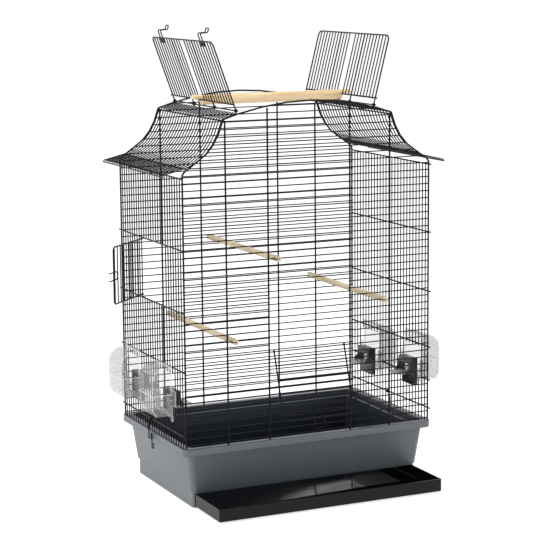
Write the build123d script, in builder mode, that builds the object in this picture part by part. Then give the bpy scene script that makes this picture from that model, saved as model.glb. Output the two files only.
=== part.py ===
"""Budgie cage with a deep base, slide-out drawer, play-top roof flaps and outside seed cups.

Frame: +X right (width), +Y back (the front face is at -Y), +Z up, millimetres.
The origin is the centre of the base's underside. Every wire is its own solid.
"""
import math
import os

from build123d import *

# ---------------------------------------------------------------- driving dimensions
BAR_PITCH = 12.0
CAGE_W = 450.6
CAGE_D = 283.0
HALF_W = CAGE_W / 2
HALF_D = CAGE_D / 2
FINE_R = 1.0
MID_R = 1.25
POST_R = 1.5
WELD_GAP = 0.02
RUN_GAP = 0.08
JOINT_GAP = 0.1
UPRIGHT_GAP = 0.8

BASE_H = 105.0
RIM_H = 11.6
RIM_X = 231.0
RIM_Y = 146.5
BODY_TOP_X = 219.0
BODY_TOP_Y = 137.5
BODY_LOW_X = 211.0
BODY_LOW_Y = 129.0
STEP_Z = 27.0
PLINTH_X = 208.2
PLINTH_Y = 126.5
BASE_WALL = 2.8
FLOOR_T = 2.2
FLOOR_LEDGE = 20.0
SKIRT_T = 2.6
CORNER_R = 10.0
BAY_TOP_Z = 24.0
LINER_TOP_Z = 95.0
LINER_T = 1.8
LINER_INSET = 4.4
LINER_GAP = 0.4

DRAWER_X = 205.0
DRAWER_OUT = 98.0
DRAWER_FRONT_Y = -130.0
DRAWER_LEN = 246.0
DRAWER_LOW_Z = 2.5
DRAWER_TOP_Z = 23.5
DRAWER_WALL = 2.4

ROW_Z0 = BASE_H + 3.7
POST_TOP_Z = 552.0
ROWS_TALL = 37
APEX_Z = 666.5
DOOR_ROW_LOW = 12
DOOR_ROW_HIGH = 22
UPRIGHTS = (CAGE_W / 6, CAGE_W / 3)

SIDE_GAPS = 26
SIDE_PITCH = CAGE_D / SIDE_GAPS
SIDE_TOP_Z = 549.4
DEPTH_WIRES = (125.8, 175.5, 233.5, 330.6, 433.4, 549.4)
SIDE_DOOR_LOW_Z = 330.6
SIDE_DOOR_HIGH_Z = 433.4
SIDE_DOOR_HINGE_GAP = 17
SIDE_DOOR_FREE_GAP = 7
SIDE_DOOR_OPEN = 47.0

HINGE_X = 125.6
HINGE_Z = 653.4
FLAP_LEN = 118.0
FLAP_CROSS = 12.0
LEFT_LEAN = 19.9
RIGHT_LEAN = 14.5

FRONT_DOOR_LEN = 117.6
FRONT_DOOR_HALF = 65.0
FRONT_DOOR_LEAN = 18.5

CUP_HALF_Y = 31.0
CUP_H = 80.0
CUP_DEEP = 34.5
SHELL_T = 1.6
SEAM_H = 34.5
WINDOW_TOP_Z = 231.0
FEEDERS = (
    ("left_back", -1, 87.0, 152.0),
    ("left_front", -1, -60.5, 152.0),
    ("right_back", 1, 69.0, 158.0),
    ("right_front", 1, -86.0, 169.5),
)

BAR_Y = HALF_D - POST_R - FINE_R - WELD_GAP
SIDE_X = HALF_W + 0.5
DEPTH_X = HALF_W + POST_R + MID_R + WELD_GAP
FLANGE_X = DEPTH_X + MID_R + 0.3

# outline of the roof's curved shoulder, from the post top to the ridge, then over the arch
SHOULDER = (
    (HALF_W, POST_TOP_Z),
    (HALF_W, 555.0),
    (221.2, 560.2),
    (211.0, 567.2),
    (196.0, 577.5),
    (183.0, 587.0),
    (170.5, 601.5),
    (161.0, 618.5),
    (153.0, 641.2),
)
ARCH = (
    (128.0, 648.8),
    (84.0, 658.6),
    (40.0, 664.6),
    (0.0, 666.5),
)
WING = (
    (127.2, 650.4),
    (152.9, 641.2),
    (161.0, 618.5),
    (170.5, 601.0),
    (183.5, 584.5),
    (200.0, 572.5),
    (217.1, 565.6),
    (257.4, 556.0),
)

os.makedirs("parts", exist_ok=True)


# ---------------------------------------------------------------- helpers
def rods_x(radius, low, high, spots):
    """Round wires along X at (y, z) spots."""
    with Locations(*[((low + high) / 2, y, z) for y, z in spots]):
        Cylinder(radius, high - low, rotation=(0, 90, 0))


def rods_y(radius, low, high, spots):
    """Round wires along Y at (x, z) spots."""
    with Locations(*[(x, (low + high) / 2, z) for x, z in spots]):
        Cylinder(radius, high - low, rotation=(90, 0, 0))


def rods_z(radius, low, high, spots):
    """Round wires along Z at (x, y) spots."""
    with Locations(*[(x, y, (low + high) / 2) for x, y in spots]):
        Cylinder(radius, high - low)


def bent_wire(points, bend, radius):
    """One round wire along a polyline with rounded bends."""
    with BuildLine() as path:
        FilletPolyline(*points, radius=bend)
    with BuildSketch(Plane(origin=path.line @ 0, z_dir=path.line % 0)) as section:
        Circle(radius)
    sweep(sections=section.sketch, path=path.line, clean=False)


def straight_wire(start, end, radius):
    """One straight round wire between two points."""
    direction = Vector(*end) - Vector(*start)
    with BuildSketch(Plane(origin=start, z_dir=direction)) as section:
        Circle(radius)
    extrude(section.sketch, amount=direction.length, clean=False)


def half_width(z):
    """Half width of the panel outline at a height."""
    if z <= POST_TOP_Z:
        return HALF_W
    line = SHOULDER + ARCH
    for (x_a, z_a), (x_b, z_b) in zip(line, line[1:]):
        if z_a <= z <= z_b:
            return x_a + (x_b - x_a) * (z - z_a) / (z_b - z_a)
    return 0.0


def row_z(row):
    """Height of one horizontal bar."""
    return ROW_Z0 + BAR_PITCH * row


def roof_z(x):
    """Height of the panel outline above a point on the width."""
    line = ARCH[::-1] + SHOULDER[::-1]
    for (x_a, z_a), (x_b, z_b) in zip(line, line[1:]):
        if x_a <= x <= x_b:
            return z_a + (z_b - z_a) * (x - x_a) / (x_b - x_a)
    return POST_TOP_Z


def wire_panel(sign, door):
    """Posts, uprights, outline and horizontal bars of a front or back panel."""
    y_post = sign * HALF_D
    y_bar = sign * BAR_Y
    corners = [(-HALF_W, y_post), (HALF_W, y_post)]
    rods_z(POST_R, BASE_H, POST_TOP_Z - JOINT_GAP, corners)
    for upright in UPRIGHTS:
        spots = [(-upright, y_post), (upright, y_post)]
        rods_z(POST_R, BASE_H, roof_z(upright + POST_R) - POST_R - UPRIGHT_GAP, spots)
    outline = [(x, y_post, z) for x, z in SHOULDER + ARCH]
    outline += [(-x, y_post, z) for x, z in (SHOULDER + ARCH)[-2::-1]]
    bent_wire(outline, 4.0, POST_R)
    full = [r for r in range(ROWS_TALL) if not (door and DOOR_ROW_LOW < r < DOOR_ROW_HIGH)]
    rods_x(FINE_R, -HALF_W - 0.7, HALF_W + 0.7, [(y_bar, row_z(r)) for r in full])
    if door:
        split = [(y_bar, row_z(r)) for r in range(DOOR_ROW_LOW + 1, DOOR_ROW_HIGH)]
        inner = UPRIGHTS[0] - 1.0
        rods_x(FINE_R, -HALF_W - 0.7, -inner, split)
        rods_x(FINE_R, inner, HALF_W + 0.7, split)
    row = ROWS_TALL
    while row_z(row) < APEX_Z - 4:
        reach = half_width(row_z(row))
        rods_x(FINE_R, -reach, reach, [(y_bar, row_z(row))])
        row += 1


# ---------------------------------------------------------------- base
with BuildPart() as base_tray:
    with BuildSketch(Plane.XY.offset(STEP_Z)):
        RectangleRounded(2 * BODY_LOW_X, 2 * BODY_LOW_Y, CORNER_R)
    with BuildSketch(Plane.XY.offset(BASE_H - RIM_H)):
        RectangleRounded(2 * BODY_TOP_X, 2 * BODY_TOP_Y, CORNER_R)
    loft(ruled=True)
    with BuildSketch(Plane.XY):
        RectangleRounded(2 * PLINTH_X, 2 * PLINTH_Y, 7)
    extrude(amount=STEP_Z)
    with BuildSketch(Plane.XY.offset(BASE_H - RIM_H)):
        RectangleRounded(2 * RIM_X, 2 * RIM_Y, CORNER_R + 2)
    extrude(amount=RIM_H)
    # the well, open at the top
    with BuildSketch(Plane.XY.offset(STEP_Z + FLOOR_T)):
        RectangleRounded(2 * (BODY_LOW_X - BASE_WALL), 2 * (BODY_LOW_Y - BASE_WALL), CORNER_R - 2)
    with BuildSketch(Plane.XY.offset(BASE_H + 2)):
        RectangleRounded(2 * (BODY_TOP_X - BASE_WALL), 2 * (BODY_TOP_Y - BASE_WALL), CORNER_R - 2)
    loft(ruled=True, mode=Mode.SUBTRACT)
    # the rim is a skirt, hollow from below
    with BuildSketch(Plane.XY.offset(BASE_H - RIM_H)):
        RectangleRounded(2 * (RIM_X - SKIRT_T), 2 * (RIM_Y - SKIRT_T), CORNER_R)
        RectangleRounded(2 * (BODY_TOP_X + 0.3), 2 * (BODY_TOP_Y + 0.3), CORNER_R, mode=Mode.SUBTRACT)
    extrude(amount=RIM_H - SKIRT_T, mode=Mode.SUBTRACT)
    # the drawer bay, open at the front and through the well's floor
    with Locations((0, -BASE_WALL, FLOOR_T)):
        Box(
            2 * (DRAWER_X + 0.4),
            2 * PLINTH_Y,
            BAY_TOP_Z - FLOOR_T,
            align=(Align.CENTER, Align.CENTER, Align.MIN),
            mode=Mode.SUBTRACT,
        )
    with Locations((0, 0, BAY_TOP_Z - 1)):
        Box(
            2 * (BODY_LOW_X - FLOOR_LEDGE),
            2 * (BODY_LOW_Y - FLOOR_LEDGE),
            20,
            align=(Align.CENTER, Align.CENTER, Align.MIN),
            mode=Mode.SUBTRACT,
        )
base_tray.part.label = "base_tray"
export_step(base_tray.part, "parts/base_tray.step")



def well_half(z):
    """Half width and half depth of the well at a height."""
    rise = (z - STEP_Z - FLOOR_T) / (BASE_H + 2 - STEP_Z - FLOOR_T)
    half_x = BODY_LOW_X + (BODY_TOP_X - BODY_LOW_X) * rise - BASE_WALL
    half_y = BODY_LOW_Y + (BODY_TOP_Y - BODY_LOW_Y) * rise - BASE_WALL
    return half_x, half_y


def well_section(z, inset, corner):
    """Rounded rectangle that follows the well's wall at a height."""
    half_x, half_y = well_half(z)
    with BuildSketch(Plane.XY.offset(z)) as section:
        RectangleRounded(2 * (half_x - inset), 2 * (half_y - inset), corner)
    return section.sketch


with BuildPart() as seed_liner:
    liner_low = STEP_Z + FLOOR_T + JOINT_GAP
    loft([well_section(liner_low, LINER_INSET, 5), well_section(LINER_TOP_Z, LINER_INSET, 5)], ruled=True)
    extrude(well_section(LINER_TOP_Z - LINER_T, LINER_GAP, 7), amount=LINER_T)
    bore = LINER_INSET + LINER_T
    bore_low = well_section(liner_low - 1, bore, 4)
    bore_high = well_section(LINER_TOP_Z + 1, bore, 4)
    loft([bore_low, bore_high], ruled=True, mode=Mode.SUBTRACT)
seed_liner.part.label = "seed_liner"
export_step(seed_liner.part, "parts/seed_liner.step")

with BuildPart() as drawer:
    with Locations((0, DRAWER_FRONT_Y - DRAWER_OUT + DRAWER_LEN / 2, DRAWER_LOW_Z)):
        Box(2 * DRAWER_X, DRAWER_LEN, DRAWER_TOP_Z - DRAWER_LOW_Z, align=(Align.CENTER, Align.CENTER, Align.MIN))
        fillet(drawer.edges().filter_by(Axis.Z), 3)
    drawer_lid = drawer.faces().sort_by(Axis.Z)[-1]
    offset(amount=-DRAWER_WALL, openings=drawer_lid)
drawer.part.label = "drawer"
export_step(drawer.part, "parts/drawer.step")

# ---------------------------------------------------------------- wire panels
with BuildPart() as front_panel:
    wire_panel(-1, True)
front_panel.part.label = "front_panel"
export_step(front_panel.part, "parts/front_panel.step")

with BuildPart() as back_panel:
    wire_panel(1, False)
back_panel.part.label = "back_panel"
export_step(back_panel.part, "parts/back_panel.step")


def side_cuts(side):
    """Gaps (y low, y high, z low, z high) in one side wall."""
    cuts = [
        (y - CUP_HALF_Y + 0.5, y + CUP_HALF_Y - 0.5, z + 1, min(z + CUP_H - 10, WINDOW_TOP_Z))
        for _, s, y, z in FEEDERS
        if s == side
    ]
    if side < 0:
        low_y = -HALF_D + SIDE_DOOR_FREE_GAP * SIDE_PITCH + 2
        high_y = -HALF_D + SIDE_DOOR_HINGE_GAP * SIDE_PITCH - 2
        cuts.append((low_y, high_y, SIDE_DOOR_LOW_Z, SIDE_DOOR_HIGH_Z))
    return cuts


def side_wall(side):
    """Fine verticals and heavier depth wires of one side wall."""
    cuts = side_cuts(side)
    for gap in range(1, SIDE_GAPS):
        y = -HALF_D + gap * SIDE_PITCH
        low = BASE_H
        for y_low, y_high, z_low, z_high in sorted(cuts, key=lambda c: c[2]):
            if y_low - FINE_R < y < y_high + FINE_R:
                rods_z(FINE_R, low, z_low + 0.8, [(side * SIDE_X, y)])
                low = z_high - 0.8
        rods_z(FINE_R, low, SIDE_TOP_Z + 1.2, [(side * SIDE_X, y)])
    for z in DEPTH_WIRES:
        spans = [-HALF_D - 3.0]
        for y_low, y_high, z_low, z_high in sorted(cuts):
            if z_low + 2 < z < z_high - 2:
                spans += [y_low - 2, y_high + 2]
        spans.append(HALF_D + 3.0)
        for low, high in zip(spans[::2], spans[1::2]):
            rods_y(MID_R, low, high, [(side * DEPTH_X, z)])


with BuildPart() as left_wall:
    side_wall(-1)
left_wall.part.label = "left_wall"
export_step(left_wall.part, "parts/left_wall.step")

with BuildPart() as right_wall:
    side_wall(1)
right_wall.part.label = "right_wall"
export_step(right_wall.part, "parts/right_wall.step")

# ---------------------------------------------------------------- curved roof wings
WING_HALF_Y = 136.4
WING_WIRES = 26


def roof_wing(side):
    """Curved wires from the roof opening out to the eave, with four lengthwise wires."""
    pitch = 2 * WING_HALF_Y / (WING_WIRES - 1)
    points = [(side * x, -WING_HALF_Y, z) for x, z in WING]
    with BuildLine() as path:
        FilletPolyline(*points, radius=4.0)
    with BuildSketch(Plane(origin=path.line @ 0, z_dir=path.line % 0)) as section:
        Circle(FINE_R)
    with Locations(*[(0, i * pitch, 0) for i in range(WING_WIRES)]):
        add(Solid.sweep(section.sketch.faces()[0], path.line), clean=False)
    rods_y(MID_R, -137.9, 137.9, [(side * HINGE_X, HINGE_Z)])
    rods_y(MID_R, -137.9, 137.9, [(side * 150.4, 638.3)])
    rods_y(MID_R, -137.9, 137.9, [(side * 216.4, 563.4)])
    rods_y(MID_R, -137.9, 137.9, [(side * 257.2, 553.7)])


with BuildPart() as left_roof_wing:
    roof_wing(-1)
left_roof_wing.part.label = "left_roof_wing"
export_step(left_roof_wing.part, "parts/left_roof_wing.step")

with BuildPart() as right_roof_wing:
    roof_wing(1)
right_roof_wing.part.label = "right_roof_wing"
export_step(right_roof_wing.part, "parts/right_roof_wing.step")

# ---------------------------------------------------------------- hinged roof flaps
EYE_R = MID_R + RUN_GAP + FINE_R
WING_PITCH = 2 * WING_HALF_Y / (WING_WIRES - 1)
FLAP_SIDE = 12
FLAP_LEG = 4


def eye(centre, axis_dir, ring, radius):
    """A wire eye round a hinge wire."""
    with Locations(Plane(origin=centre, z_dir=axis_dir)):
        Torus(ring, radius)


def flap_point(side, lean, distance, y, lift=0.0):
    """A point in the plane of an open flap; lift is outwards from that plane."""
    out = math.radians(lean)
    x = side * (HINGE_X + math.sin(out) * distance + math.cos(out) * lift)
    z = HINGE_Z + math.cos(out) * distance - math.sin(out) * lift
    return (x, y, z)


def roof_flap(side, lean):
    """A flap standing up from the roof opening and leaning outwards."""
    start = EYE_R + 0.2
    edge = FLAP_SIDE * WING_PITCH
    frame = [(start, -edge), (FLAP_LEN, -edge), (FLAP_LEN, edge), (start, edge)]
    bent_wire([flap_point(side, lean, d, y) for d, y in frame], 9.0, MID_R)
    legs = (-FLAP_LEG * WING_PITCH, FLAP_LEG * WING_PITCH)
    for y in legs:
        low = flap_point(side, lean, start, y)
        straight_wire(low, flap_point(side, lean, FLAP_LEN - MID_R, y), MID_R)
    for y in (-edge, edge) + legs:
        eye((side * HINGE_X, y, HINGE_Z), (0, 1, 0), EYE_R, FINE_R)
    lift = 2 * MID_R + WELD_GAP
    low = flap_point(side, lean, FLAP_CROSS, -edge - 1, lift)
    straight_wire(low, flap_point(side, lean, FLAP_CROSS, edge + 1, lift), MID_R)
    for i in range(1 - FLAP_SIDE, FLAP_SIDE):
        if i in (0, FLAP_LEG, -FLAP_LEG):
            continue
        low = flap_point(side, lean, FLAP_CROSS - 2, i * WING_PITCH)
        straight_wire(low, flap_point(side, lean, FLAP_LEN - MID_R, i * WING_PITCH), FINE_R)


with BuildPart() as left_roof_flap:
    roof_flap(-1, LEFT_LEAN)
left_roof_flap.part.label = "left_roof_flap"
export_step(left_roof_flap.part, "parts/left_roof_flap.step")

with BuildPart() as right_roof_flap:
    roof_flap(1, RIGHT_LEAN)
right_roof_flap.part.label = "right_roof_flap"
export_step(right_roof_flap.part, "parts/right_roof_flap.step")


def roof_hook(low_bar):
    """Two neighbouring wires run past the flap's edge, bend inwards and turn up at the tip."""
    y_a = low_bar * WING_PITCH
    y_b = (low_bar + 1) * WING_PITCH
    inner = -MID_R - FINE_R - WELD_GAP
    side_view = (
        (FLAP_LEN - 10, inner),
        (FLAP_LEN + 13, inner),
        (FLAP_LEN + 9, inner - 13),
        (FLAP_LEN + 15, inner - 17),
    )
    points = [flap_point(-1, LEFT_LEAN, d, y_a, lift) for d, lift in side_view]
    points += [flap_point(-1, LEFT_LEAN, d, y_b, lift) for d, lift in side_view[::-1]]
    bent_wire(points, 2.4, FINE_R)


with BuildPart() as roof_hook_back:
    roof_hook(8)
roof_hook_back.part.label = "roof_hook_back"
export_step(roof_hook_back.part, "parts/roof_hook_back.step")

with BuildPart() as roof_hook_front:
    roof_hook(-8)
roof_hook_front.part.label = "roof_hook_front"
export_step(roof_hook_front.part, "parts/roof_hook_front.step")

# ---------------------------------------------------------------- doors
DOOR_HINGE = (0.0, -BAR_Y, row_z(DOOR_ROW_LOW))
DOOR_EYE_R = FINE_R + RUN_GAP + FINE_R


def front_door_point(x, distance, lift=0.0):
    """A point in the plane of the lowered front door; lift is away from the cage."""
    out = math.radians(FRONT_DOOR_LEAN)
    y = DOOR_HINGE[1] - math.sin(out) * distance - math.cos(out) * lift
    z = DOOR_HINGE[2] - math.cos(out) * distance + math.sin(out) * lift
    return (x, y, z)


with BuildPart() as front_door:
    reach = FRONT_DOOR_HALF
    door_frame = (
        (-reach, DOOR_EYE_R),
        (-reach, FRONT_DOOR_LEN),
        (reach, FRONT_DOOR_LEN),
        (reach, DOOR_EYE_R),
    )
    bent_wire([front_door_point(x, d) for x, d in door_frame], 10.0, MID_R)
    for x in (-reach, reach):
        eye((x, DOOR_HINGE[1], DOOR_HINGE[2]), (1, 0, 0), DOOR_EYE_R, FINE_R)
    door_lift = MID_R + FINE_R + WELD_GAP
    for row in range(1, 10):
        start = front_door_point(-reach - 1, row * BAR_PITCH, door_lift)
        straight_wire(start, front_door_point(reach + 1, row * BAR_PITCH, door_lift), FINE_R)
front_door.part.label = "front_door"
export_step(front_door.part, "parts/front_door.step")

with BuildPart() as front_door_latch:
    latch_view = (
        (-9, FRONT_DOOR_LEN - 7, -2.35),
        (-9, FRONT_DOOR_LEN + 11, -2.35),
        (-9, FRONT_DOOR_LEN + 16, -9.0),
        (9, FRONT_DOOR_LEN + 16, -9.0),
        (9, FRONT_DOOR_LEN + 11, -2.35),
        (9, FRONT_DOOR_LEN - 7, -2.35),
    )
    bent_wire([front_door_point(*p) for p in latch_view], 2.5, FINE_R)
front_door_latch.part.label = "front_door_latch"
export_step(front_door_latch.part, "parts/front_door_latch.step")

SIDE_HINGE_Y = -HALF_D + SIDE_DOOR_HINGE_GAP * SIDE_PITCH
SIDE_DOOR_LEN = (SIDE_DOOR_HINGE_GAP - SIDE_DOOR_FREE_GAP) * SIDE_PITCH - FINE_R - MID_R - 0.4
SIDE_DOOR_Z = (SIDE_DOOR_LOW_Z + 3.9, SIDE_DOOR_HIGH_Z - 3.9)


def side_door_point(distance, z, lift=0.0):
    """A point in the plane of the open side door; lift is its outer side."""
    out = math.radians(SIDE_DOOR_OPEN)
    x = -SIDE_X - math.sin(out) * distance - math.cos(out) * lift
    y = SIDE_HINGE_Y - math.cos(out) * distance + math.sin(out) * lift
    return (x, y, z)


with BuildPart() as side_door:
    low_z, high_z = SIDE_DOOR_Z
    door_frame = (
        (DOOR_EYE_R, low_z),
        (SIDE_DOOR_LEN, low_z),
        (SIDE_DOOR_LEN, high_z),
        (DOOR_EYE_R, high_z),
    )
    bent_wire([side_door_point(d, z) for d, z in door_frame], 6.0, MID_R)
    for z in SIDE_DOOR_Z:
        eye((-SIDE_X, SIDE_HINGE_Y, z), (0, 0, 1), DOOR_EYE_R, FINE_R)
    for bar in range(1, 10):
        start = side_door_point(bar * SIDE_PITCH, low_z - 1, door_lift)
        straight_wire(start, side_door_point(bar * SIDE_PITCH, high_z + 1, door_lift), FINE_R)
side_door.part.label = "side_door"
export_step(side_door.part, "parts/side_door.step")

with BuildPart() as side_door_latch:
    latch_lift = door_lift + 2 * FINE_R + WELD_GAP
    latch_view = (
        (SIDE_DOOR_LEN + 8, 373.5),
        (SIDE_DOOR_LEN - 22, 373.5),
        (SIDE_DOOR_LEN - 22, 386.5),
        (SIDE_DOOR_LEN + 8, 386.5),
    )
    bent_wire([side_door_point(d, z, latch_lift) for d, z in latch_view], 5.0, FINE_R)
side_door_latch.part.label = "side_door_latch"
export_step(side_door_latch.part, "parts/side_door_latch.step")

# ---------------------------------------------------------------- base latches
LATCH_VIEW = (
    (230.4, 8, 125.8),
    (233.2, 8, 112),
    (233.2, 8, 91.8),
    (229.6, 4.5, 91.8),
    (229.6, 0.5, 91.8),
    (233.2, -3, 91.8),
    (233.2, -3, 103),
    (234.4, -9, 103),
    (234.4, -9, 79),
    (234.4, -17, 79),
    (234.4, -17, 89),
)


def base_latch(side):
    """A bent wire catch that turns on the lowest depth wire and hooks under the rim."""
    bent_wire([(side * x, y, z) for x, y, z in LATCH_VIEW], 1.5, FINE_R)
    for y in (8.0, 5.9):
        eye((side * DEPTH_X, y, DEPTH_WIRES[0]), (0, 1, 0), EYE_R, FINE_R)


with BuildPart() as base_latch_left:
    base_latch(-1)
base_latch_left.part.label = "base_latch_left"
export_step(base_latch_left.part, "parts/base_latch_left.step")

with BuildPart() as base_latch_right:
    base_latch(1)
base_latch_right.part.label = "base_latch_right"
export_step(base_latch_right.part, "parts/base_latch_right.step")

# ---------------------------------------------------------------- perches
TOP_PERCH_R = 8.5
TOP_PERCH_HALF = 147.5
TOP_PERCH_Z = HINGE_Z + MID_R + TOP_PERCH_R + 0.05
PERCH_R = 5.0
PERCHES = (("perch_high", -59.0, 25), ("perch_right", 140.0, 18), ("perch_left", -137.0, 14))

with BuildPart() as top_perch:
    with Locations((0, 0, TOP_PERCH_Z)):
        Cylinder(TOP_PERCH_R, 2 * TOP_PERCH_HALF, rotation=(0, 90, 0))
    chamfer(top_perch.edges().filter_by(GeomType.CIRCLE), 0.8)
    for side, lean in ((-1, LEFT_LEAN), (1, RIGHT_LEAN)):
        cross = flap_point(side, lean, FLAP_CROSS, 0, 2 * MID_R + WELD_GAP)
        notch_x = abs(cross[0]) - MID_R - 0.25
        notch_top = cross[2] + MID_R + 0.2
        with Locations((side * (notch_x + 20), 0, notch_top - 10)):
            Box(40, 30, 20, mode=Mode.SUBTRACT)
top_perch.part.label = "top_perch"
export_step(top_perch.part, "parts/top_perch.step")

for perch_name, perch_x, perch_row in PERCHES:
    with BuildPart() as perch:
        with Locations((perch_x, 0, row_z(perch_row))):
            Cylinder(PERCH_R, 2 * (BAR_Y + 9), rotation=(90, 0, 0))
            chamfer(perch.edges().filter_by(GeomType.CIRCLE), 0.6)
        for end in (-1, 1):
            with Locations((perch_x, end * (BAR_Y + 5), row_z(perch_row))):
                Box(30, 14, 2 * FINE_R + 0.3, mode=Mode.SUBTRACT)
    perch.part.label = perch_name
    export_step(perch.part, f"parts/{perch_name}.step")

# ---------------------------------------------------------------- seed cups
PLATE_T = 1.6
PLATE_LIP = 4.0
TAB_REACH = 15.0
CUP_BACK = 1.9
DOME_ROUND = 24.0
CHAMFER_X = 6.0
CHAMFER_Z = 10.5
TROUGH_HALF = 18.4
TROUGH_LOW = 6.0
TROUGH_HIGH = 20.0
HOOD_X = SIDE_X - FINE_R - 0.4
HOOD_HALF = 22.0
HOOD_TOP = 38.5
HOOD_LOW = -10.0
ROOF_DEEP = 12.8
VISOR_DEEP = 15.0
FOOT_DEEP = 21.5
APRON_DEEP = 7.0
MOUTH_HALF = 19.0
LEDGE_DEEP = 38.0


def prism(points, y_low, y_high, mode=Mode.ADD, round_corner=0.0, side=1):
    """Extrude an X-Z outline along Y; the outer top corner may be rounded."""
    with BuildSketch(Plane.XZ.offset(-y_high)) as outline:
        with BuildLine():
            Polyline(*points, close=True)
        make_face()
        if round_corner:
            top = outline.vertices().sort_by(Axis.Y)[-2:].sort_by(Axis.X)
            fillet(top[-1 if side > 0 else 0], round_corner)
    extrude(outline.sketch, amount=y_high - y_low, mode=mode)


def block(x_a, x_b, y_low, y_high, z_low, z_high, mode=Mode.ADD):
    """A plain box between two corners."""
    with Locations(((x_a + x_b) / 2, (y_low + y_high) / 2, (z_low + z_high) / 2)):
        Box(abs(x_b - x_a), y_high - y_low, z_high - z_low, mode=mode)


def seed_cup(side, y, z):
    """Clear lower cup: outside bowl and the trough that reaches into the cage."""
    near = FLANGE_X + CUP_BACK
    far = FLANGE_X + CUP_DEEP
    seam = z + SEAM_H
    bowl = ((near, z), (far - CHAMFER_X, z), (far, z + CHAMFER_Z), (far, seam), (near, seam))
    prism([(side * x, h) for x, h in bowl], y - CUP_HALF_Y, y + CUP_HALF_Y)
    inner_x = HOOD_X - APRON_DEEP + SHELL_T + 0.8
    trough = (y - TROUGH_HALF, y + TROUGH_HALF, z + TROUGH_LOW, z + TROUGH_HIGH)
    block(side * inner_x, side * (near + 4), *trough)
    near += SHELL_T
    far -= SHELL_T
    low = z + SHELL_T
    hollow = ((near, low), (far - CHAMFER_X, low), (far, z + CHAMFER_Z), (far, seam + 1), (near, seam + 1))
    inner_half = CUP_HALF_Y - SHELL_T
    prism([(side * x, h) for x, h in hollow], y - inner_half, y + inner_half, Mode.SUBTRACT)
    half = TROUGH_HALF - SHELL_T
    channel = (y - half, y + half, z + TROUGH_LOW + SHELL_T, z + TROUGH_HIGH + 1)
    block(side * (inner_x + SHELL_T), side * (near + 4), *channel, Mode.SUBTRACT)
    block(side * (near - 3), side * (near + 1), y - half, y + half, z + TROUGH_HIGH, seam + 1, Mode.SUBTRACT)


def feeder_dome(side, y, z):
    """Clear upper dome and the flange plate that lies against the wires."""
    plate = (side * FLANGE_X, side * (FLANGE_X + PLATE_T))
    reach = CUP_HALF_Y + PLATE_LIP
    block(*plate, y - reach, y + reach, z - PLATE_LIP, z + CUP_H + 3)
    block(*plate, y - reach - TAB_REACH, y + reach + TAB_REACH, z + 18, z + 44)
    far = FLANGE_X + CUP_DEEP
    low = z + SEAM_H + 0.2
    top = z + CUP_H
    dome = ((FLANGE_X + 0.2, low), (far, low), (far, top), (FLANGE_X + 0.2, top))
    prism([(side * x, h) for x, h in dome], y - CUP_HALF_Y, y + CUP_HALF_Y, Mode.ADD, DOME_ROUND, side)
    far -= SHELL_T
    top -= SHELL_T
    hollow = ((FLANGE_X - 1, low - 1), (far, low - 1), (far, top), (FLANGE_X - 1, top))
    inner_half = CUP_HALF_Y - SHELL_T
    inner_round = DOME_ROUND - SHELL_T
    y_range = (y - inner_half, y + inner_half)
    prism([(side * x, h) for x, h in hollow], *y_range, Mode.SUBTRACT, inner_round, side)
    half = TROUGH_HALF + 0.6
    window = (y - half, y + half, z + TROUGH_LOW - 0.6, z + SEAM_H + 1)
    block(side * (FLANGE_X - 1), side * (FLANGE_X + 3), *window, Mode.SUBTRACT)
    with Locations((side * (FLANGE_X + PLATE_T / 2), y - CUP_HALF_Y - 2, z - PLATE_LIP - 1)):
        Cylinder(5.0, PLATE_T, rotation=(0, 90, 0))


def feeder_hood(side, y, z):
    """Dark insert: flat roof, visor with an arched mouth, flared cheeks and a low apron."""
    outline = (
        (0, HOOD_TOP),
        (ROOF_DEEP, HOOD_TOP),
        (VISOR_DEEP, HOOD_TOP - 7),
        (VISOR_DEEP, HOOD_TOP - 15),
        (FOOT_DEEP, 14.5),
        (FOOT_DEEP, 12),
        (APRON_DEEP, 12),
        (APRON_DEEP, HOOD_LOW),
        (0, HOOD_LOW),
    )
    inside = (
        (-1, HOOD_TOP - SHELL_T),
        (ROOF_DEEP - 1, HOOD_TOP - SHELL_T),
        (VISOR_DEEP - SHELL_T, HOOD_TOP - 7),
        (VISOR_DEEP - SHELL_T, 13),
        (APRON_DEEP - SHELL_T, 13),
        (APRON_DEEP - SHELL_T, HOOD_LOW + SHELL_T),
        (-1, HOOD_LOW + SHELL_T),
    )
    prism([(side * (HOOD_X - x), z + h) for x, h in outline], y - HOOD_HALF, y + HOOD_HALF)
    half = HOOD_HALF - SHELL_T
    prism([(side * (HOOD_X - x), z + h) for x, h in inside], y - half, y + half, Mode.SUBTRACT)
    with BuildSketch(Plane.YZ.offset(side * (HOOD_X - FOOT_DEEP) - 12)) as mouth:
        with Locations((y, z + 19)):
            RectangleRounded(2 * MOUTH_HALF, 18.0, 8)
        with Locations((y, z + 15)):
            Rectangle(2 * MOUTH_HALF, 10.0)
    extrude(mouth.sketch, amount=24, mode=Mode.SUBTRACT)


def feeder_ledge(side, y, z):
    """Landing ledge that sticks out between the feet of the hood's cheeks."""
    near = HOOD_X - APRON_DEEP - 3
    far = HOOD_X - LEDGE_DEEP
    with BuildSketch(Plane.XY.offset(z + 11.4)) as plan:
        with Locations((side * (near + far) / 2, y)):
            RectangleRounded(near - far, 2 * MOUTH_HALF - 0.6, 8)
        with Locations((side * (near - 4), y)):
            Rectangle(8, 2 * MOUTH_HALF - 0.6)
    extrude(plan.sketch, amount=2.6)


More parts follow.
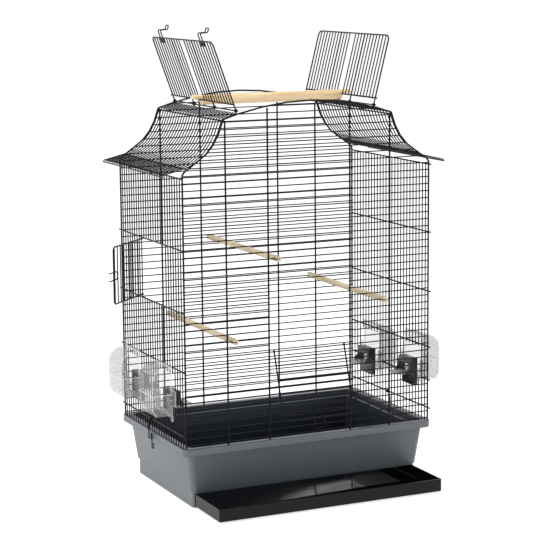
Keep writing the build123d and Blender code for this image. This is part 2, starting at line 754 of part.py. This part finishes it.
for feeder_name, feeder_side, feeder_y, feeder_z in FEEDERS:
    with BuildPart() as cup:
        seed_cup(feeder_side, feeder_y, feeder_z)
    cup.part.label = f"seed_cup_{feeder_name}"
    export_step(cup.part, f"parts/seed_cup_{feeder_name}.step")
    with BuildPart() as dome:
        feeder_dome(feeder_side, feeder_y, feeder_z)
    dome.part.label = f"feeder_dome_{feeder_name}"
    export_step(dome.part, f"parts/feeder_dome_{feeder_name}.step")
    with BuildPart() as hood:
        feeder_hood(feeder_side, feeder_y, feeder_z)
    hood.part.label = f"feeder_hood_{feeder_name}"
    export_step(hood.part, f"parts/feeder_hood_{feeder_name}.step")
    with BuildPart() as ledge:
        feeder_ledge(feeder_side, feeder_y, feeder_z)
    ledge.part.label = f"feeder_ledge_{feeder_name}"
    export_step(ledge.part, f"parts/feeder_ledge_{feeder_name}.step")
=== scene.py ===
"""Looks of the wire bird cage: materials, softened plastic edges, light and camera."""
import math

import bmesh
import bpy
from mathutils import Matrix, Vector


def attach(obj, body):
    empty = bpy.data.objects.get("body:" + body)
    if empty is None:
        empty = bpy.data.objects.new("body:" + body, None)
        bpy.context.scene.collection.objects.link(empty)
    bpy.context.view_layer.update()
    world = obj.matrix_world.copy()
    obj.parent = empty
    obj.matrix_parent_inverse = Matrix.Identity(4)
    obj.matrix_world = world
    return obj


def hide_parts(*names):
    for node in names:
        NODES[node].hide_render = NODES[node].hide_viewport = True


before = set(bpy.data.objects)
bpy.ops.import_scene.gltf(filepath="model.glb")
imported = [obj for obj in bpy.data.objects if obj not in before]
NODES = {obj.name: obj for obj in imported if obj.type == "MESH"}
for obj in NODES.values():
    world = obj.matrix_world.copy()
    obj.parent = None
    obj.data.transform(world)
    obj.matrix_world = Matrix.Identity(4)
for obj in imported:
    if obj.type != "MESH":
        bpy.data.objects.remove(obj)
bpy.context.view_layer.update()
MM = 0.001
FLOOR_SIZE = 14.0
FLAT_ANGLE = math.radians(0.6)
SHARP_ANGLE = math.radians(32)
MERGE_DISTANCE = 1e-6
CLEAR_EDGE_WIDTH = 0.5 * MM
HOOD_EDGE_WIDTH = 0.6 * MM
DRAWER_EDGE_WIDTH = 0.7 * MM
LEDGE_EDGE_WIDTH = 0.8 * MM
BASE_EDGE_WIDTH = 0.9 * MM


# ---------------------------------------------------------------- materials
def material(name, color, roughness, **sockets):
    """A Principled material with plain numbers on its sockets."""
    mat = bpy.data.materials.new(name)
    mat.use_nodes = True
    shader = mat.node_tree.nodes["Principled BSDF"]
    shader.inputs["Base Color"].default_value = (*color, 1.0)
    shader.inputs["Roughness"].default_value = roughness
    for key, value in sockets.items():
        shader.inputs[key.replace("_", " ")].default_value = value
    return mat


def add_bump(mat, scale, strength, distance, detail=4.0, stretch=(1, 1, 1)):
    """Fine surface texture from object-space noise."""
    nodes, links = mat.node_tree.nodes, mat.node_tree.links
    coord = nodes.new("ShaderNodeTexCoord")
    mapping = nodes.new("ShaderNodeMapping")
    mapping.inputs["Scale"].default_value = stretch
    noise = nodes.new("ShaderNodeTexNoise")
    noise.inputs["Scale"].default_value = scale
    noise.inputs["Detail"].default_value = detail
    bump = nodes.new("ShaderNodeBump")
    bump.inputs["Strength"].default_value = strength
    bump.inputs["Distance"].default_value = distance
    links.new(coord.outputs["Object"], mapping.inputs["Vector"])
    links.new(mapping.outputs["Vector"], noise.inputs["Vector"])
    links.new(noise.outputs["Fac"], bump.inputs["Height"])
    links.new(bump.outputs["Normal"], nodes["Principled BSDF"].inputs["Normal"])


def wood(name, along, dark, light):
    """Pale dowel with grain drawn out along its length."""
    mat = material(name, light, 0.55)
    stretch = tuple(0.06 if axis == along else 1.0 for axis in range(3))
    add_bump(mat, 420.0, 0.35, 0.0004, 6.0, stretch)
    nodes, links = mat.node_tree.nodes, mat.node_tree.links
    coord = nodes.new("ShaderNodeTexCoord")
    mapping = nodes.new("ShaderNodeMapping")
    mapping.inputs["Scale"].default_value = stretch
    grain = nodes.new("ShaderNodeTexNoise")
    grain.inputs["Scale"].default_value = 190.0
    grain.inputs["Detail"].default_value = 8.0
    grain.inputs["Distortion"].default_value = 0.6
    ramp = nodes.new("ShaderNodeValToRGB")
    ramp.color_ramp.elements[0].position = 0.34
    ramp.color_ramp.elements[0].color = (*dark, 1)
    ramp.color_ramp.elements[1].position = 0.62
    ramp.color_ramp.elements[1].color = (*light, 1)
    links.new(coord.outputs["Object"], mapping.inputs["Vector"])
    links.new(mapping.outputs["Vector"], grain.inputs["Vector"])
    links.new(grain.outputs["Fac"], ramp.inputs["Fac"])
    links.new(ramp.outputs["Color"], nodes["Principled BSDF"].inputs["Base Color"])
    return mat


WIRE = material("black_wire", (0.003, 0.003, 0.004), 0.34, Specular_IOR_Level=0.15)
BASE = material("grey_base", (0.112, 0.126, 0.134), 0.40)
INSIDE = material("black_inside", (0.024, 0.029, 0.042), 0.24)
LINER = material("liner_black", (0.020, 0.024, 0.036), 0.26)
# The light grey on the liner's rounded edges is a painted highlight where the edge catches
# the light.
LINER_EDGE_HIGHLIGHT = material("liner_edge_painted_highlight", (0.30, 0.31, 0.31), 0.30)
DRAWER = material("black_drawer", (0.002, 0.0025, 0.0025), 0.07, Specular_IOR_Level=0.20)
CLEAR = material("clear_plastic", (0.32, 0.33, 0.31), 0.10, Alpha=0.22)
# The near-white, more opaque colour on the rounded edges of the clear plastic is a painted
# highlight.
CLEAR_EDGE_HIGHLIGHT = material("clear_plastic_edge_painted_highlight", (0.86, 0.87, 0.87), 0.15, Alpha=0.70)
HOOD = material("dark_hood", (0.010, 0.012, 0.017), 0.24)
SMOKE = material("smoke_ledge", (0.30, 0.32, 0.27), 0.14, Alpha=0.72)
WOOD_X = wood("dowel_across", 0, (0.76, 0.50, 0.25), (0.95, 0.72, 0.42))
WOOD_Y = wood("dowel_deep", 1, (0.44, 0.34, 0.20), (0.68, 0.58, 0.40))
add_bump(BASE, 1400.0, 0.10, 0.0002)
add_bump(WIRE, 900.0, 0.10, 0.0001)
add_bump(INSIDE, 60.0, 0.05, 0.0006, 2.0)
add_bump(DRAWER, 26.0, 0.10, 0.0010, 1.0)


def paint(obj, *mats):
    """Give the object these materials, the first one on every face."""
    obj.data.materials.clear()
    for mat in mats:
        obj.data.materials.append(mat)
    for polygon in obj.data.polygons:
        polygon.material_index = 0


# ---------------------------------------------------------------- plastic with softened edges
def softened(node, body, mats, width, edge_slot=-1, segments=3):
    """A copy of a CAD node with rounded edges, shown in its place."""
    mesh = NODES[node].data.copy()
    work = bmesh.new()
    work.from_mesh(mesh)
    bmesh.ops.remove_doubles(work, verts=work.verts, dist=MERGE_DISTANCE)
    bmesh.ops.dissolve_limit(work, angle_limit=FLAT_ANGLE, verts=work.verts, edges=work.edges)
    work.to_mesh(mesh)
    work.free()
    piece = bpy.data.objects.new("soft_" + node, mesh)
    bpy.context.scene.collection.objects.link(piece)
    paint(piece, *mats)
    for polygon in mesh.polygons:
        polygon.use_smooth = True
    bevel = piece.modifiers.new("edges", "BEVEL")
    bevel.width = width
    bevel.segments = segments
    bevel.limit_method = "ANGLE"
    bevel.angle_limit = SHARP_ANGLE
    bevel.harden_normals = True
    # edge_slot picks the material for the rounded edges. The liner and the clear plastic use
    # it for a painted highlight.
    bevel.material = edge_slot
    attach(piece, body)
    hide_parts(node)
    return piece


def line_inside(tray, reach_x, reach_y, floor_z):
    """Black inner skin: faces of the well that look inwards or up."""
    for polygon in tray.data.polygons:
        centre = polygon.center
        within = abs(centre.x) < reach_x and abs(centre.y) < reach_y and centre.z > floor_z
        inward = centre.x * polygon.normal.x + centre.y * polygon.normal.y < 0
        if within and (inward or polygon.normal.z > 0.5):
            polygon.material_index = 1


base = softened("base_tray", "cage", (BASE, INSIDE), BASE_EDGE_WIDTH)
WELL_X = 218.9 * MM
WELL_Y = 137.4 * MM
BAY_TOP = 24.5 * MM
line_inside(base, WELL_X, WELL_Y, BAY_TOP)
# The liner's rounded edges get the light grey painted highlight material.
softened("seed_liner", "cage", (LINER, LINER_EDGE_HIGHLIGHT), HOOD_EDGE_WIDTH, 1)
softened("drawer", "drawer_body", (DRAWER,), DRAWER_EDGE_WIDTH)
FEEDERS = ("left_back", "left_front", "right_back", "right_front")
for place in FEEDERS:
    # Cups and domes are clear plastic with a painted highlight on their rounded edges.
    clear = (CLEAR, CLEAR_EDGE_HIGHLIGHT)
    softened("seed_cup_" + place, "cup_" + place, clear, CLEAR_EDGE_WIDTH, 1)
    softened("feeder_dome_" + place, "cage", clear, CLEAR_EDGE_WIDTH, 1)
    softened("feeder_hood_" + place, "cage", (HOOD,), HOOD_EDGE_WIDTH)
    softened("feeder_ledge_" + place, "cage", (SMOKE,), LEDGE_EDGE_WIDTH)

for name, obj in NODES.items():
    if name == "top_perch":
        paint(obj, WOOD_X)
    elif name.startswith("perch_"):
        paint(obj, WOOD_Y)
    elif not name.startswith(("seed_", "feeder_", "base_tray", "drawer")):
        paint(obj, WIRE)

# ---------------------------------------------------------------- floor, light and camera
bpy.ops.mesh.primitive_plane_add(size=FLOOR_SIZE, location=(0, 1.0, 0))
floor = bpy.context.object
floor.name = "floor"
floor_glow = {"Emission_Color": (1.0, 1.0, 1.0, 1.0), "Emission_Strength": 0.70}
FLOOR = material("floor_white", (0.50, 0.50, 0.50), 0.9, Specular_IOR_Level=0.0, **floor_glow)
paint(floor, FLOOR)

world = bpy.data.worlds.new("studio")
bpy.context.scene.world = world
world.use_nodes = True
sky_nodes, sky_links = world.node_tree.nodes, world.node_tree.links
direction = sky_nodes.new("ShaderNodeTexCoord")
split = sky_nodes.new("ShaderNodeSeparateXYZ")
front_back = sky_nodes.new("ShaderNodeValToRGB")
remap = sky_nodes.new("ShaderNodeMapRange")
remap.inputs["From Min"].default_value = -1.0
remap.inputs["From Max"].default_value = 1.0
front_back.color_ramp.elements[0].position = 0.10
front_back.color_ramp.elements[0].color = (0.42, 0.46, 0.52, 1)
front_back.color_ramp.elements[1].position = 0.58
front_back.color_ramp.elements[1].color = (1.0, 1.0, 1.0, 1)
sky_links.new(direction.outputs["Generated"], split.inputs["Vector"])
sky_links.new(split.outputs["Y"], remap.inputs["Value"])
sky_links.new(remap.outputs["Result"], front_back.inputs["Fac"])
sky_links.new(front_back.outputs["Color"], sky_nodes["Background"].inputs["Color"])
sky_nodes["Background"].inputs["Strength"].default_value = 1.03


def softbox(name, place, target, size, power, color=(1, 1, 1)):
    """A square area light aimed at a point."""
    data = bpy.data.lights.new(name, "AREA")
    data.shape = "SQUARE"
    data.size = size
    data.energy = power
    data.color = color
    lamp = bpy.data.objects.new(name, data)
    lamp.location = place
    aim = Vector(target) - Vector(place)
    lamp.rotation_euler = aim.to_track_quat("-Z", "Y").to_euler()
    bpy.context.scene.collection.objects.link(lamp)


softbox("key_left", (-2.6, -0.2, 1.9), (0, 0, 0.3), 1.6, 34, (1.0, 0.965, 0.92))
softbox("top", (0.2, 0.2, 3.0), (0, 0, 0), 2.6, 26)
softbox("right", (2.4, -1.9, 0.9), (0.15, 0, 0.1), 1.2, 22, (0.90, 0.95, 1.0))

CAMERA_PLACE = Vector((-1.347, -2.901, 0.8882))
CAMERA_AZIMUTH = math.radians(-24.946)
CAMERA_ELEVATION = math.radians(9.446)
CAMERA_ROLL = math.radians(-0.483)
FOCAL_PER_WIDTH = 3.4111

lens = bpy.data.cameras.new("view")
lens.sensor_width = 36.0
lens.lens = 36.0 * FOCAL_PER_WIDTH
camera = bpy.data.objects.new("view", lens)
bpy.context.scene.collection.objects.link(camera)
backward = Vector(
    (
        math.sin(CAMERA_AZIMUTH) * math.cos(CAMERA_ELEVATION),
        -math.cos(CAMERA_AZIMUTH) * math.cos(CAMERA_ELEVATION),
        math.sin(CAMERA_ELEVATION),
    )
)
level = Vector((0, 0, 1)).cross(backward).normalized()
upward = backward.cross(level)
right = level * math.cos(CAMERA_ROLL) + upward * math.sin(CAMERA_ROLL)
up = upward * math.cos(CAMERA_ROLL) - level * math.sin(CAMERA_ROLL)
turn = Matrix((right, up, backward)).transposed()
camera.matrix_world = Matrix.Translation(CAMERA_PLACE) @ turn.to_4x4()
bpy.context.scene.camera = camera
bpy.context.scene.view_settings.view_transform = "Standard"
